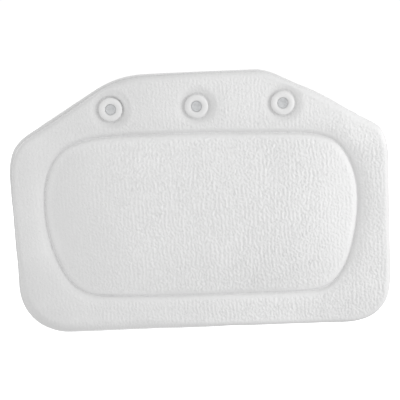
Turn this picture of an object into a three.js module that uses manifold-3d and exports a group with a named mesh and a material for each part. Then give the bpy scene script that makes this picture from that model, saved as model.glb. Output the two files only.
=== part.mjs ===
// Bath pillow: a soft white panel that hangs on three suction cups.
//
// The panel is a sandwich: a flat back sheet, a foam sheet over its whole area, a thick
// foam pad, and a formed front sheet that is welded to the back sheet along a thin lip.
// A narrow groove pressed into the front sheet outlines the pad. Each suction cup has a
// stem that passes through a hole near the top edge and snaps into a domed ring button,
// which sits in a shallow dish on the front.
//
// Millimetres. +X to the right as seen from the front, +Z up, the front faces -Y.
// The origin is on the axis of the middle cup, in the plane of the wall the cups hold to.

import * as THREE from 'three';
import { mergeVertices } from 'three/addons/utils/BufferGeometryUtils.js';
import Module from 'manifold-3d';

const wasm = await Module();
wasm.setup();

// ---------------------------------------------------------------- driving dimensions

const CUP_SPACING = 71.5; // between neighbouring cup axes
const TOP_Z = 28.5; // upper edge of the panel at its middle, above the cup axes
const BOTTOM_Z = -189.6; // lower edge
const BACK_Y = -12.5; // back of the panel, in front of the wall

// outline of the panel: corners with fillet radii, top, shoulder and bottom of the right half and then
// bottom, shoulder and top of the left half; the soft panel isn't quite symmetric
const RIGHT_CORNERS = [
  { x: 59.9, z: 28.6, r: 58.8 }, { x: 158.8, z: -24.4, r: 36.7 }, { x: 159.8, z: -189.5, r: 36.0 },
];
const LEFT_CORNERS = [
  { x: -157.5, z: -190.6, r: 41.2 }, { x: -161.0, z: -29.4, r: 38.3 }, { x: -65.1, z: 28.1, r: 82.0 },
];

// groove around the pad, from the middle of its top to the left and around
const GROOVE_POINTS = [
  [-0.3, -22.2], [-36.2, -22.4], [-72.1, -22.8], [-93.7, -24.9], [-113.5, -32.3], [-125.0, -47.9],
  [-130.2, -65.5], [-131.0, -79.8], [-130.4, -93.9], [-127.3, -112.2], [-121.4, -129.6], [-112.9, -145.5],
  [-105.4, -152.3], [-95.0, -157.0], [-72.1, -158.8], [-36.2, -159.8], [-0.3, -160.2], [35.7, -160.3],
  [71.6, -160.4], [88.9, -160.0], [100.9, -158.5], [110.2, -153.1], [120.7, -138.3], [126.9, -121.2],
  [130.6, -103.4], [132.4, -85.0], [131.3, -66.5], [126.0, -49.4], [115.3, -33.7], [95.7, -26.6],
  [71.6, -24.7], [35.7, -23.4],
];
const PAD_CENTRE = { x: 0, z: -94 };

// depths, measured forwards from the back of the panel
const CLEAR = 0.3; // between pieces that lie on each other
const BACK_SHEET = 1.6;
const SKIN = 1.8; // formed front sheet
const LIP_WIDTH = 2.0; // welded lip around the edge
const LIP_DEPTH = 3.6;
const RIM_DEPTH = 9.0;
const RIM_ROUND = 4.6; // width of the rounding from lip to rim
const WELD_WIDTH = 5.1; // where the two sheets part
const RIM_BULGE = 0.5;
const COVE_WIDTH = 10; // rim falling towards the groove
const GROOVE_DEPTH = 5.2;
const PAD_EDGE_WIDTH = 2.6; // steep edge of the pad
const PAD_EDGE_DEPTH = 7.6;
const PAD_CROWN_DEPTH = 23.6;
const BASE_FOAM_DEPTH = 5.0; // foam sheet under the pad

// dishes and holes for the cups
const HOLE_R = 6.0;
const DISH_R = 16.0;
const DISH_FLOOR_R = 11.0;
const DISH_FLOOR_DEPTH = 6.6;

// suction cup, measured forwards from the wall
const CUP_R = 19;
const CUP_LAND = 1.8; // flat sealing land at the lip
const CUP_HOLLOW = 7.0;
const SHOULDER_R = 7.6;
const SHOULDER_TOP = 10.2; // 2.3 short of the back of the panel: the cup floats 2.0
const STEM_R = 5.3;
const NECK_R = 3.9;
const TIP_R = 4.6;

// ring button
const BUTTON_R = 10.2;
const BUTTON_BORE_R = 4.9;
const BUTTON_LIP_R = 4.2;
const BUTTON_HEIGHT = 2.75;

const ROUND = 28; // sides of the turned pieces

// ---------------------------------------------------------------- helpers

const WHITE_SHEET = { color: 0xe9e9e8, roughness: 0.62, metalness: 0 };
const BACK_WHITE = { color: 0xe4e4e2, roughness: 0.68, metalness: 0 };
const FOAM_WHITE = { color: 0xefeee6, roughness: 0.95, metalness: 0 };
const CUP_CLEAR = { color: 0xd3d6d8, roughness: 0.22, metalness: 0 };
const BUTTON_WHITE = { color: 0xe6e7e7, roughness: 0.25, metalness: 0 };

function closed(geometry) {
  const g = geometry.clone();
  g.deleteAttribute('normal');
  g.deleteAttribute('uv');
  const m = mergeVertices(g, 1e-4);
  const p = m.attributes.position;
  const src = m.index.array;
  const keep = [];
  let volume = 0;
  const a = new THREE.Vector3();
  const b = new THREE.Vector3();
  const c = new THREE.Vector3();
  for (let k = 0; k < src.length; k += 3) {
    const [i, j, l] = [src[k], src[k + 1], src[k + 2]];
    if (i === j || j === l || l === i) continue;
    keep.push(i, j, l);
    a.fromBufferAttribute(p, i);
    b.fromBufferAttribute(p, j);
    c.fromBufferAttribute(p, l);
    volume += a.dot(b.cross(c));
  }
  if (volume < 0) for (let k = 0; k < keep.length; k += 3) [keep[k], keep[k + 1]] = [keep[k + 1], keep[k]];
  m.setIndex(keep);
  return m;
}

function solid(geometry) {
  const g = closed(geometry);
  return new wasm.Manifold(new wasm.Mesh({
    numProp: 3,
    vertProperties: new Float32Array(g.attributes.position.array),
    triVerts: new Uint32Array(g.index.array),
  }));
}

function geometryOf(manifold) {
  const m = manifold.getMesh();
  const p = new Float32Array(m.numVert * 3);
  for (let i = 0; i < m.numVert; i++) {
    for (let k = 0; k < 3; k++) p[3 * i + k] = m.vertProperties[m.numProp * i + k];
  }
  const g = new THREE.BufferGeometry();
  g.setAttribute('position', new THREE.BufferAttribute(p, 3));
  g.setIndex(Array.from(m.triVerts));
  return g;
}

const pillow = new THREE.Group();

function addPiece(name, geometry, look) {
  geometry.computeVertexNormals();
  const mesh = new THREE.Mesh(geometry, new THREE.MeshStandardMaterial(look));
  mesh.name = name;
  pillow.add(mesh);
  return mesh;
}

// a turned shape about the Y axis; the profile is [radius, depth in front of the wall]
function turned(profile, segments = ROUND) {
  const points = profile.map(([r, h]) => new THREE.Vector2(r, -h));
  return new THREE.LatheGeometry(points, segments);
}

// ---------------------------------------------------------------- outline and groove

function filletedPath(corners) {
  const path = new THREE.Path();
  const n = corners.length;
  const at = (k) => new THREE.Vector2(corners[(k + n) % n].x, corners[(k + n) % n].z);
  const start = at(0);
  path.moveTo(start.x, start.y);
  for (let k = 1; k < n; k++) {
    const here = at(k);
    const r = corners[k].r;
    if (!r) {
      path.lineTo(here.x, here.y);
      continue;
    }
    const u = at(k - 1).sub(here).normalize();
    const v = at(k + 1).sub(here).normalize();
    const half = Math.acos(u.dot(v)) / 2;
    const from = here.clone().addScaledVector(u, r / Math.tan(half));
    const to = here.clone().addScaledVector(v, r / Math.tan(half));
    const centre = here.clone().addScaledVector(u.clone().add(v).normalize(), r / Math.sin(half));
    path.lineTo(from.x, from.y);
    const a0 = Math.atan2(from.y - centre.y, from.x - centre.x);
    const a1 = Math.atan2(to.y - centre.y, to.x - centre.x);
    path.absarc(centre.x, centre.y, r, a0, a1, true);
  }
  path.lineTo(start.x, start.y);
  return path;
}

const outlinePath = filletedPath([
  { x: 0, z: TOP_Z }, ...RIGHT_CORNERS, { x: 0, z: BOTTOM_Z }, ...LEFT_CORNERS,
]);
// straight stretches get a point every 28 mm or so, fillets one every 12 degrees
const OUTLINE = outlinePath.curves.filter((c) => c.getLength() > 1e-3).flatMap((c) => {
  const steps = c.isLineCurve ? c.getLength() / 28 : Math.abs(c.getLength() / c.xRadius) / 0.21;
  return c.getPoints(Math.max(1, Math.round(steps))).slice(0, -1);
});
const SPOKES = OUTLINE.length;

const grooveCurve = new THREE.CatmullRomCurve3(
  GROOVE_POINTS.map(([x, z]) => new THREE.Vector3(x, z, 0)), true, 'centripetal',
);
const GROOVE = grooveCurve.getSpacedPoints(256).slice(0, 256).map((p) => new THREE.Vector2(p.x, p.y));

function distanceTo(loop, x, z) {
  let best = Infinity;
  for (let k = 0; k < loop.length; k++) {
    const a = loop[k];
    const b = loop[(k + 1) % loop.length];
    const dx = b.x - a.x;
    const dz = b.y - a.y;
    const t = Math.min(1, Math.max(0, ((x - a.x) * dx + (z - a.y) * dz) / (dx * dx + dz * dz)));
    best = Math.min(best, Math.hypot(x - a.x - t * dx, z - a.y - t * dz));
  }
  return best;
}

// where the spoke from the pad's centre to an outline point crosses the groove, as a fraction
function grooveCrossing(end) {
  const ex = end.x - PAD_CENTRE.x;
  const ez = end.y - PAD_CENTRE.z;
  for (let k = 0; k < GROOVE.length; k++) {
    const a = GROOVE[k];
    const b = GROOVE[(k + 1) % GROOVE.length];
    const sx = b.x - a.x;
    const sz = b.y - a.y;
    const det = ex * sz - ez * sx;
    if (Math.abs(det) < 1e-9) continue;
    const wx = a.x - PAD_CENTRE.x;
    const wz = a.y - PAD_CENTRE.z;
    const t = (wx * sz - wz * sx) / det;
    const s = (wx * ez - wz * ex) / det;
    if (t > 0 && s >= -1e-9 && s <= 1 + 1e-9) return t;
  }
  throw new Error('no crossing');
}

const spokes = OUTLINE.map((end) => {
  const groove = grooveCrossing(end);
  const at = (t) => [PAD_CENTRE.x + t * (end.x - PAD_CENTRE.x), PAD_CENTRE.z + t * (end.y - PAD_CENTRE.z)];
  const search = (lo, hi, miss) => {
    for (let k = 0; k < 40; k++) {
      const mid = (lo + hi) / 2;
      if (miss(...at(mid)) > 0) hi = mid;
      else lo = mid;
    }
    return (lo + hi) / 2;
  };
  return {
    groove,
    at,
    edge: (d) => (d === 0 ? 1 : search(groove, 1, (x, z) => d - distanceTo(OUTLINE, x, z))),
    outside: (d) => (d === 0 ? groove : search(groove, 1, (x, z) => distanceTo(GROOVE, x, z) - d)),
    inside: (d) => search(0, groove, (x, z) => d - distanceTo(GROOVE, x, z)),
  };
});

// ---------------------------------------------------------------- section of the panel

const clamp01 = (v) => Math.min(1, Math.max(0, v));
const quarter = (u) => Math.sqrt(1 - (1 - clamp01(u)) ** 2);
const roll = (u) => 1 - (1 - clamp01(u)) ** 2.3;
const dome = (fraction) => (PAD_CROWN_DEPTH - PAD_EDGE_DEPTH) * (1 - fraction ** 2.05);

function rimDepth(toEdge, toGroove) {
  const f = clamp01(toEdge / (toEdge + toGroove));
  return RIM_DEPTH + RIM_BULGE * 4 * f * (1 - f);
}

// outer face of the front sheet
function faceDepth(row, x, z, fraction) {
  const toGroove = distanceTo(GROOVE, x, z);
  if (row.inPad) {
    return GROOVE_DEPTH + (PAD_EDGE_DEPTH - GROOVE_DEPTH) * roll(toGroove / PAD_EDGE_WIDTH) + dome(fraction);
  }
  const toEdge = distanceTo(OUTLINE, x, z);
  const rim = rimDepth(toEdge, toGroove);
  const edge = LIP_DEPTH + (rim - LIP_DEPTH) * quarter((toEdge - LIP_WIDTH) / RIM_ROUND);
  const cove = GROOVE_DEPTH + (rim - GROOVE_DEPTH) * roll(toGroove / COVE_WIDTH);
  return Math.min(edge, cove);
}

// inner face of the front sheet
function innerDepth(row, x, z, fraction) {
  const seat = BACK_SHEET + CLEAR;
  const toGroove = distanceTo(GROOVE, x, z);
  if (row.inPad) {
    return GROOVE_DEPTH - SKIN + (PAD_EDGE_DEPTH - GROOVE_DEPTH) * roll((toGroove - 1.4) / PAD_EDGE_WIDTH) + dome(fraction);
  }
  const toEdge = distanceTo(OUTLINE, x, z);
  const rim = rimDepth(toEdge, toGroove) - SKIN;
  const edge = seat + (rim - seat) * quarter((toEdge - WELD_WIDTH) / RIM_ROUND);
  const cove = GROOVE_DEPTH - SKIN + (rim - GROOVE_DEPTH + SKIN) * roll((toGroove - 0.6) / COVE_WIDTH);
  return Math.min(edge, cove);
}

const edge = (d) => ({ place: (s) => s.edge(d) });
const rim = (f) => ({ place: (s) => { const a = s.outside(COVE_WIDTH); const b = s.edge(LIP_WIDTH + RIM_ROUND); return a + f * (b - a); } });
const outside = (d) => ({ place: (s) => s.outside(d) });
const inside = (d) => ({ place: (s) => s.inside(d), inPad: true });
const pad = (f) => ({ place: (s) => s.groove * f, inPad: true });
const withDepth = (rows, depth) => rows.map((row) => ({ ...row, depth }));

// a closed body made of rings of points on the spokes; its first and last rows are the pad's centre
function ringed(rows) {
  const g = new THREE.LatheGeometry(rows.map((_, k) => new THREE.Vector2(1, k)), SPOKES);
  const p = g.attributes.position;
  const ring = rows.map((row) => spokes.map((s) => {
    const t = row.place(s);
    const [x, z] = s.at(t);
    return [x, BACK_Y - row.depth(row, x, z, Math.min(1, t / s.groove)), z];
  }));
  for (let i = 0; i <= SPOKES; i++) {
    for (let j = 0; j < rows.length; j++) p.setXYZ(i * rows.length + j, ...ring[j][i % SPOKES]);
  }
  return g;
}

const FACE_ROWS = [
  pad(0), pad(0.35), pad(0.68), inside(8), inside(2.8), inside(1.2),
  outside(0), outside(2.5), outside(COVE_WIDTH), rim(0.5), edge(6.8), edge(4.2), edge(2.7),
];
const INNER_ROWS = [
  edge(6.6), edge(9.7), outside(10.6), outside(3), outside(0.6),
  inside(1.4), inside(2.6), inside(4.6), inside(8), pad(0.68), pad(0.35), pad(0),
];
const flat = (d) => () => d;
const lessClear = (row, x, z, f) => innerDepth(row, x, z, f) - CLEAR;
const SEAT = BACK_SHEET + CLEAR;

const sheetBlank = ringed([
  ...withDepth(FACE_ROWS, faceDepth),
  { ...edge(LIP_WIDTH), depth: flat(LIP_DEPTH) },
  { ...edge(0), depth: flat(LIP_DEPTH) },
  { ...edge(0), depth: flat(SEAT) },
  { ...edge(WELD_WIDTH), depth: flat(SEAT) },
  ...withDepth(INNER_ROWS, innerDepth),
]);

const baseBlank = ringed([
  { ...pad(0), depth: flat(SEAT) },
  { ...pad(0.6), depth: flat(SEAT) },
  { ...outside(0), depth: flat(SEAT) },
  { ...edge(6.6), depth: flat(SEAT) },
  ...withDepth(INNER_ROWS.slice(0, 6), lessClear),
  { ...inside(2.6), depth: flat(BASE_FOAM_DEPTH) },
  { ...pad(0.6), depth: flat(BASE_FOAM_DEPTH) },
  { ...pad(0), depth: flat(BASE_FOAM_DEPTH) },
]);

// everything behind the face
const envelope = ringed([
  ...withDepth(FACE_ROWS, faceDepth),
  { ...edge(LIP_WIDTH), depth: flat(LIP_DEPTH) },
  { ...edge(0), depth: flat(LIP_DEPTH) },
  { ...edge(0), depth: flat(SEAT) },
  { ...outside(0), depth: flat(SEAT) },
  { ...pad(0.6), depth: flat(SEAT) },
  { ...pad(0), depth: flat(SEAT) },
]);

const padBlank = ringed([
  { ...pad(0), depth: flat(BASE_FOAM_DEPTH + CLEAR) },
  { ...pad(0.6), depth: flat(BASE_FOAM_DEPTH + CLEAR) },
  { ...inside(4.6), depth: flat(BASE_FOAM_DEPTH + CLEAR) },
  ...withDepth(INNER_ROWS.slice(7), lessClear),
]);

// ---------------------------------------------------------------- dishes and holes

const front = -BACK_Y; // depth of the panel's back in front of the wall
const dishFace = [
  [DISH_FLOOR_R, DISH_FLOOR_DEPTH],
  [DISH_FLOOR_R + 2.6, DISH_FLOOR_DEPTH + 1.4],
  [DISH_R, RIM_DEPTH + 0.05],
];
const deeper = (points, by) => points.map(([r, d]) => [r, d - by]);
const ahead = (points) => points.map(([r, d]) => [r, d + front]);

// everything in front of the dish
const dishCut = turned(ahead([[0, DISH_FLOOR_DEPTH], ...dishFace, [DISH_R, 30], [0, 30]]));
// formed sheet of the dish
const dishSheet = turned(ahead([
  [HOLE_R, DISH_FLOOR_DEPTH], ...dishFace.slice(0, 2), [DISH_R + 0.6, RIM_DEPTH - 0.5],
  [DISH_R + 0.6, RIM_DEPTH - SKIN + 0.4],
  ...deeper(dishFace.slice(0, 2), SKIN).reverse(), [HOLE_R, DISH_FLOOR_DEPTH - SKIN], [HOLE_R, DISH_FLOOR_DEPTH],
]));
// room for that sheet in the foam
const dishRoom = turned(ahead([
  [0, DISH_FLOOR_DEPTH - SKIN - CLEAR], ...deeper(dishFace, SKIN + CLEAR), [DISH_R + 1, RIM_DEPTH - SKIN - CLEAR], [DISH_R + 1, 30], [0, 30],
]));
const holeCut = turned([[0, 10], [HOLE_R, 10], [HOLE_R, 60], [0, 60]]);

const CUPS = [['left', -CUP_SPACING], ['middle', 0], ['right', CUP_SPACING]];
let sheetSolid = solid(sheetBlank);
let baseSolid = solid(baseBlank);
const bodySolid = solid(envelope);
for (const [, x] of CUPS) {
  const shifted = (g) => solid(g).translate([x, 0, 0]);
  sheetSolid = sheetSolid.subtract(shifted(dishCut)).add(shifted(dishSheet).intersect(bodySolid)).subtract(shifted(holeCut));
  baseSolid = baseSolid.subtract(shifted(dishRoom)).subtract(shifted(holeCut));
}

addPiece('front_cover', geometryOf(sheetSolid), WHITE_SHEET);
addPiece('base_foam', geometryOf(baseSolid), FOAM_WHITE);
addPiece('pad_foam', closed(padBlank), FOAM_WHITE);

// ---------------------------------------------------------------- back sheet

const backSheet = new THREE.ExtrudeGeometry(new THREE.Shape(OUTLINE), { depth: BACK_SHEET, bevelEnabled: false });
backSheet.rotateX(Math.PI / 2).translate(0, BACK_Y, 0);
let backSolid = solid(backSheet);
for (const [, x] of CUPS) backSolid = backSolid.subtract(solid(holeCut).translate([x, 0, 0]));
addPiece('back_cover', geometryOf(backSolid), BACK_WHITE);

// ---------------------------------------------------------------- suction cups and buttons

const buttonBottom = front + DISH_FLOOR_DEPTH + CLEAR;
const buttonTop = buttonBottom + BUTTON_HEIGHT;
const lipTop = buttonBottom + 1.1;
const tipBottom = lipTop + CLEAR;

const cupProfile = [
  [0, CUP_HOLLOW], [5.4, CUP_HOLLOW - 0.3], [10, CUP_HOLLOW - 1.5], [14, CUP_HOLLOW - 3.8],
  [CUP_R - CUP_LAND, 0], [CUP_R, 0], [CUP_R, 0.8],
  [17.4, 3.4], [14.2, 6.0], [10.4, 8.1], [SHOULDER_R, 9.2], [SHOULDER_R - 0.3, SHOULDER_TOP],
  [STEM_R, SHOULDER_TOP], [STEM_R, buttonBottom - CLEAR], [NECK_R, buttonBottom - CLEAR],
  [NECK_R, tipBottom], [TIP_R, tipBottom], [TIP_R, tipBottom + 0.45], [TIP_R - 0.4, tipBottom + 0.65],
  [0, tipBottom + 0.25],
];
const buttonProfile = [
  [BUTTON_LIP_R, buttonBottom], [BUTTON_R - 0.6, buttonBottom], [BUTTON_R, buttonBottom + 0.8],
  [BUTTON_R - 0.15, buttonTop - 1.35], [BUTTON_R - 1.05, buttonTop - 0.45],
  [BUTTON_R - 2.7, buttonTop], [BUTTON_BORE_R + 0.8, buttonTop - 0.25], [BUTTON_BORE_R, buttonTop - 0.95],
  [BUTTON_BORE_R, lipTop], [BUTTON_LIP_R, lipTop], [BUTTON_LIP_R, buttonBottom],
];
for (const [side, x] of CUPS) {
  addPiece(`suction_cup_${side}`, closed(turned(cupProfile)), CUP_CLEAR).position.x = x;
  addPiece(`retaining_button_${side}`, closed(turned(buttonProfile)), BUTTON_WHITE).position.x = x;
}

export default pillow;
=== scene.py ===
"""Bath pillow: the finished surfaces of a soft white panel that hangs on three suction cups.

The panel is a sandwich of a flat back sheet, a foam sheet, a foam pad and a thermoformed,
embossed front sheet. Each cup's stem goes through the panel into a glossy ring button.
Millimetres inside this script, metres in the meshes. +X right seen from the front, +Z up,
the front faces -Y. "Depth" is measured forwards from the back of the panel.
"""

import math

import bpy
import numpy as np
from mathutils import Matrix, Vector
from mathutils.geometry import delaunay_2d_cdt


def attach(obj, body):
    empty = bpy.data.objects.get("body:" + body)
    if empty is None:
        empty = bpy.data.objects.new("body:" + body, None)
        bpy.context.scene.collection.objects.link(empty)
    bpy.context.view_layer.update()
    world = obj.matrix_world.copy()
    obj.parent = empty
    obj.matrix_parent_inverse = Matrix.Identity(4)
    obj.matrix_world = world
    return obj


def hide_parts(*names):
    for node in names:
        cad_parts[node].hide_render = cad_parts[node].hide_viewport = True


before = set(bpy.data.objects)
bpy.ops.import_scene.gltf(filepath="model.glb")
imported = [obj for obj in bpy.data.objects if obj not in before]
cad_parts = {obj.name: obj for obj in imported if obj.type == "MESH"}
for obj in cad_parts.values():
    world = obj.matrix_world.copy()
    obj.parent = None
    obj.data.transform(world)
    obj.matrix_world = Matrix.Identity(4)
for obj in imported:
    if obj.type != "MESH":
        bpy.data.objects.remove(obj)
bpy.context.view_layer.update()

# ---------------------------------------------------------------- dimensions (mm)

CUP_X = {"left": -71.5, "middle": 0.0, "right": 71.5}
BACK_Y = -12.5
TOP_Z, BOTTOM_Z = 28.5, -189.6
# corners of the outline (x, z, radius), counter-clockwise from the upper left; the soft panel isn't quite symmetric
CORNERS = [
    (-65.1, 28.1, 82.0), (-161.0, -29.4, 38.3), (-157.5, -190.6, 41.2),
    (159.8, -189.5, 36.0), (158.8, -24.4, 36.7), (59.9, 28.6, 58.8),
]
# the groove around the pad, counter-clockwise from the middle of its top
GROOVE_POINTS = [
    (-0.3, -22.2), (-36.2, -22.4), (-72.1, -22.8), (-93.7, -24.9), (-113.5, -32.3), (-125.0, -47.9),
    (-130.2, -65.5), (-131.0, -79.8), (-130.4, -93.9), (-127.3, -112.2), (-121.4, -129.6), (-112.9, -145.5),
    (-105.4, -152.3), (-95.0, -157.0), (-72.1, -158.8), (-36.2, -159.8), (-0.3, -160.2), (35.7, -160.3),
    (71.6, -160.4), (88.9, -160.0), (100.9, -158.5), (110.2, -153.1), (120.7, -138.3), (126.9, -121.2),
    (130.6, -103.4), (132.4, -85.0), (131.3, -66.5), (126.0, -49.4), (115.3, -33.7), (95.7, -26.6),
    (71.6, -24.7), (35.7, -23.4),
]

BACK_SHEET = 1.6
WELD_GAP = 0.04  # the two sheets are fused along the lip
SKIN = 1.8
LIP_DEPTH = 3.6
RIM_DEPTH = 9.0
RIM_BULGE = 0.5
GROOVE_DEPTH = 5.2
PAD_EDGE_DEPTH = 7.4
PAD_CROWN_DEPTH = 23.6
BASE_FOAM_DEPTH = 5.0
CLEAR = 0.3
HOLE_R = 6.0
DISH_FLOOR = 6.6

RELIEF = 0.98  # peak to valley of the embossed grain

# ---------------------------------------------------------------- small helpers


def clamp01(v):
    return np.clip(v, 0.0, 1.0)


def smoothstep(lo, hi, v):
    t = clamp01((v - lo) / (hi - lo))
    return t * t * (3 - 2 * t)


def smooth_min(a, b, k):
    """The smaller of two depths, rounded over about k where they meet."""
    h = clamp01(0.5 + 0.5 * (b - a) / k)
    return b * (1 - h) + a * h - k * h * (1 - h)


def resample(loop, n):
    """n points at equal steps along a closed polyline."""
    closed = np.vstack([loop, loop[:1]])
    run = np.r_[0, np.cumsum(np.hypot(*np.diff(closed, axis=0).T))]
    at = np.linspace(0, run[-1], n, endpoint=False)
    return np.c_[np.interp(at, run, closed[:, 0]), np.interp(at, run, closed[:, 1])]


def soften(loop, sigma):
    """A closed, evenly stepped polyline smoothed over sigma millimetres."""
    n = len(loop)
    step = np.hypot(*(np.roll(loop, -1, 0) - loop).T).mean()
    f = np.fft.fftfreq(n, step)
    gain = np.exp(-2 * (np.pi * f * sigma) ** 2)
    z = np.fft.ifft(np.fft.fft(loop[:, 0] + 1j * loop[:, 1]) * gain)
    return np.c_[z.real, z.imag]


def inward(loop):
    """Unit normals to the left of a counter-clockwise loop."""
    t = np.roll(loop, -1, 0) - np.roll(loop, 1, 0)
    t /= np.hypot(*t.T)[:, None]
    return np.c_[-t[:, 1], t[:, 0]]


def signed_distance(p, loop):
    """Distance to a counter-clockwise loop, positive inside."""
    a, m = loop, len(loop)
    ab = np.roll(loop, -1, 0) - a
    l2 = (ab**2).sum(1)
    a2 = (a**2).sum(1)
    out = np.empty(len(p))
    for i in range(0, len(p), 4000):
        q = p[i : i + 4000]
        k = (a2[None] - 2 * q @ a.T).argmin(1)
        best = np.full(len(q), 1e9)
        sign = np.ones(len(q))
        for j in (k, (k - 1) % m):
            t = clamp01(((q - a[j]) * ab[j]).sum(1) / l2[j])
            e = q - (a[j] + t[:, None] * ab[j])
            d = np.hypot(e[:, 0], e[:, 1])
            s = np.sign(ab[j, 0] * e[:, 1] - ab[j, 1] * e[:, 0])
            closer = d < best - 1e-9
            best = np.where(closer, d, best)
            sign = np.where(closer, s, sign)
        out[i : i + 4000] = best * np.where(sign == 0, 1, sign)
    return out


# ---------------------------------------------------------------- outline and groove


def filleted(corners):
    """A closed polygon with rounded corners; corners are (x, z, radius), counter-clockwise."""
    out = []
    n = len(corners)
    for i in range(n):
        p0, p1, p2 = (np.array(corners[(i + k) % n][:2]) for k in (-1, 0, 1))
        r = corners[i][2]
        if r == 0:
            out.append(p1)
            continue
        a = (p0 - p1) / np.hypot(*(p0 - p1))
        b = (p2 - p1) / np.hypot(*(p2 - p1))
        half = math.acos(float(a @ b)) / 2
        c = p1 + (a + b) / np.hypot(*(a + b)) * r / math.sin(half)
        s, e = p1 + a * r / math.tan(half), p1 + b * r / math.tan(half)
        t0 = math.atan2(*(s - c)[::-1])
        dt = (math.atan2(*(e - c)[::-1]) - t0 + math.pi) % (2 * math.pi) - math.pi
        for u in np.linspace(0, 1, 60):
            out.append(c + r * np.array([math.cos(t0 + dt * u), math.sin(t0 + dt * u)]))
    return np.array(out)


def around(p, table):
    """A value that changes along the panel's edge; the table is (angle, value), 0 at the right and 90 at the top."""
    a = np.degrees(np.arctan2(p[:, 1] + 80, p[:, 0]))
    at, value = np.array(table, float).T
    return np.interp(a, np.r_[at - 360, at, at + 360], np.r_[value, value, value])


def make_outline():
    """The filleted outline with the small swellings and hollows of a soft panel."""
    loop = resample(filleted([(0, TOP_Z, 0), *CORNERS[:3], (0, BOTTOM_Z, 0), *CORNERS[3:]]), 2400)
    swelling = around(loop, [
        (15, 0.0), (18, 1.2), (20, 1.9), (22, 0.8), (24, -0.7), (30, -0.6), (34, 0.25), (36, 0.7), (42, 0.8),
        (46, 0.4), (48, -0.2), (54, -0.7), (58, -0.3), (62, 0.3), (64, 0.4), (66, 0.0), (155, 0.0), (162, 0.7),
        (165, 0.0), (168, -0.5), (171, 0.0), (202, 0.0), (205, 0.45), (214, 0.45), (219, 0.0), (321, 0.0),
        (326, 0.7), (331, 0.0), (334, -0.8), (338, 0.0),
    ])
    return soften(loop - inward(loop) * swelling[:, None], 3.0)


OUTLINE = make_outline()


def catmull(points, steps=40):
    """A closed centripetal Catmull-Rom curve."""
    p = np.array(points, float)
    n = len(p)
    out = []
    for i in range(n):
        q = [p[(i + k - 1) % n] for k in range(4)]
        t = [0.0]
        for k in range(3):
            t.append(t[-1] + np.hypot(*(q[k + 1] - q[k])) ** 0.5)
        for u in np.linspace(t[1], t[2], steps, endpoint=False):
            a = [((t[k + 1] - u) * q[k] + (u - t[k]) * q[k + 1]) / (t[k + 1] - t[k]) for k in range(3)]
            b = [((t[k + 2] - u) * a[k] + (u - t[k]) * a[k + 1]) / (t[k + 2] - t[k]) for k in range(2)]
            out.append(((t[2] - u) * b[0] + (u - t[1]) * b[1]) / (t[2] - t[1]))
    return np.array(out)


GROOVE = soften(resample(catmull(GROOVE_POINTS), 2000), 4.0)

# ---------------------------------------------------------------- fields over the panel's face

rng = np.random.default_rng(41027)
FX0, FZ0, FH = -172.0, -203.0, 0.25
FNX, FNZ = 1376, 976
_fx, _fz = np.meshgrid(np.fft.fftfreq(FNX, FH), np.fft.fftfreq(FNZ, FH))
_fr, _fa = np.hypot(_fx, _fz), np.arctan2(_fz, _fx)


def waves(pitch, spread_pitch, angle, spread_angle):
    """A complex field of wandering parallel waves; its argument is their phase."""
    turn = np.abs((_fa - math.radians(angle) + np.pi) % (2 * np.pi) - np.pi)
    gain = np.exp(-0.5 * ((_fr - 1 / pitch) * pitch / spread_pitch) ** 2)
    gain *= np.exp(-0.5 * (turn / math.radians(spread_angle)) ** 2)
    return np.fft.ifft2(np.fft.fft2(rng.standard_normal((FNZ, FNX))) * gain)


def clouds(size):
    """Smooth noise with lumps of about this size; mean 0, standard deviation 1."""
    gain = np.exp(-2 * (np.pi * _fr * size * 0.3) ** 2)
    c = np.fft.ifft2(np.fft.fft2(rng.standard_normal((FNZ, FNX))) * gain).real
    return (c - c.mean()) / c.std()


def sample(field, p):
    """A field at points (x, z)."""
    u = np.clip((p[:, 0] - FX0) / FH, 0, FNX - 1.001)
    v = np.clip((p[:, 1] - FZ0) / FH, 0, FNZ - 1.001)
    i, j = u.astype(int), v.astype(int)
    a, b = u - i, v - j
    return (
        field[j, i] * (1 - a) * (1 - b) + field[j, i + 1] * a * (1 - b)
        + field[j + 1, i] * (1 - a) * b + field[j + 1, i + 1] * a * b
    )


def grain_field():
    """The embossed grain, 0 on the ridges and 1 in the valleys: wandering upright strands, broken by short cross creases."""
    def strands(pitch, spread_pitch, angle, spread_angle, even):
        z = waves(pitch, spread_pitch, angle, spread_angle)
        size = np.abs(z) / np.sqrt((np.abs(z) ** 2).mean())
        return size**even * np.cos(np.angle(z))

    upright = strands(3.4, 0.14, 0, 8, 0.5)
    across = strands(3.4, 0.30, 90, 30, 0.8)
    crumple = 0.9 * strands(2.8, 0.40, 0, 75, 0.9) + 1.2 * strands(2.2, 0.35, 90, 75, 0.9)
    patch = smoothstep(-0.4, 1.4, clouds(9))
    h = 0.56 * upright * (1.0 - 0.45 * patch) + across * (0.18 + 0.45 * patch) + 0.70 * crumple
    return 0.5 - 0.5 * np.tanh(1.05 * h)


GRAIN = grain_field()
SWELL = clouds(60)
RIPPLE = clouds(18)
TENSION = np.real(waves(46, 0.35, 62, 22))
TENSION /= TENSION.std()
LEATHER = np.real(waves(4.8, 0.3, 0, 400))
LEATHER = np.tanh(1.2 * LEATHER / LEATHER.std())


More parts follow.
